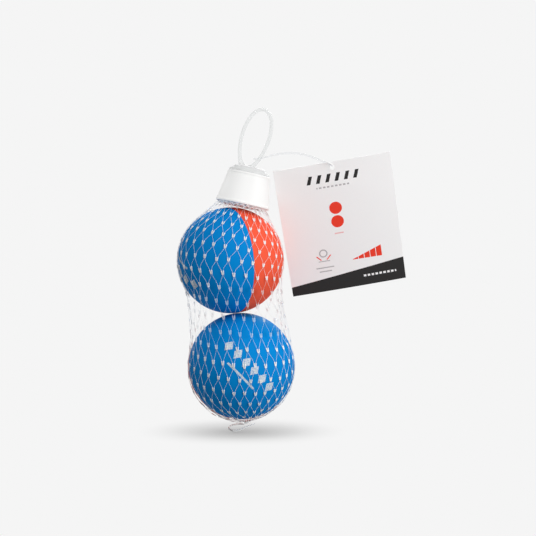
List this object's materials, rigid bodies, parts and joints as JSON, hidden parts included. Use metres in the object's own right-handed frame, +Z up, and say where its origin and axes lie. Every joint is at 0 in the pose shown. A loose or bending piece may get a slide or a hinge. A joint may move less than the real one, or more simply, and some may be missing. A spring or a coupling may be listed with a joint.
{
  "type": "netted squash ball pack",
  "caption": "Hollow rubber balls stacked in a knotted net sleeve, gathered into a tapered closure with a clear hanging loop and a card swing tag on a clear tie.",
  "frame": {"origin": "the hanging loop's seat: the inner top of the loop, where a peg or hook carries the pack", "axes": "+Z up, with the pack hanging down along -Z; +X to the right of a viewer in front, towards the swing tag; the viewer looks along +Y"},
  "size_m": [0.1272, 0.0596, 0.173],
  "materials": {
    "ball_blue": "matt moulded rubber",
    "ball_red": "matt moulded rubber",
    "ball_bond": "matt cured adhesive",
    "net_plastic": "extruded polythene net, satin",
    "net_film": "fused polythene film",
    "closure_white": "moulded, semi-gloss",
    "plug_clear": "natural polypropylene, milky clear",
    "tag_card": "coated card with a dark printed band",
    "tie_clear": "clear nylon"
  },
  "bodies": {
    "package": {"net_sleeve": "net_plastic", "net_neck": "net_plastic", "net_tail": "net_film", "closure_cap": "closure_white", "loop_plug": "plug_clear"},
    "upper_ball": {"upper_blue_shell": "ball_blue", "upper_red_shell": "ball_red", "upper_bond_ring": "ball_bond"},
    "lower_ball": {"lower_blue_shell": "ball_blue", "lower_red_shell": "ball_red", "lower_bond_ring": "ball_bond"},
    "tie": {"tag_tie": "tie_clear"},
    "tag": {"swing_tag": "tag_card"}
  },
  "joints": [
    {"name": "upper_ball_turn", "type": "hinge", "parent": "package", "child": "upper_ball", "pos_m": [-0.01794, 0, -0.08025], "axis": [0, 0, 1], "continuous": true},
    {"name": "lower_ball_turn", "type": "hinge", "parent": "package", "child": "lower_ball", "pos_m": [-0.01205, 0, -0.13725], "axis": [0, 0, 1], "continuous": true},
    {"name": "tie_lift", "type": "hinge", "parent": "package", "child": "tie", "pos_m": [-0.00255, 0, -0.02569], "axis": [0, -1, 0], "range_deg": [0, 25]},
    {"name": "tag_swing", "type": "hinge", "parent": "tie", "child": "tag", "pos_m": [0.03695, 0, -0.02989], "axis": [0.057, -0.9397, -0.3372], "range_deg": [0, 95]}
  ]
}
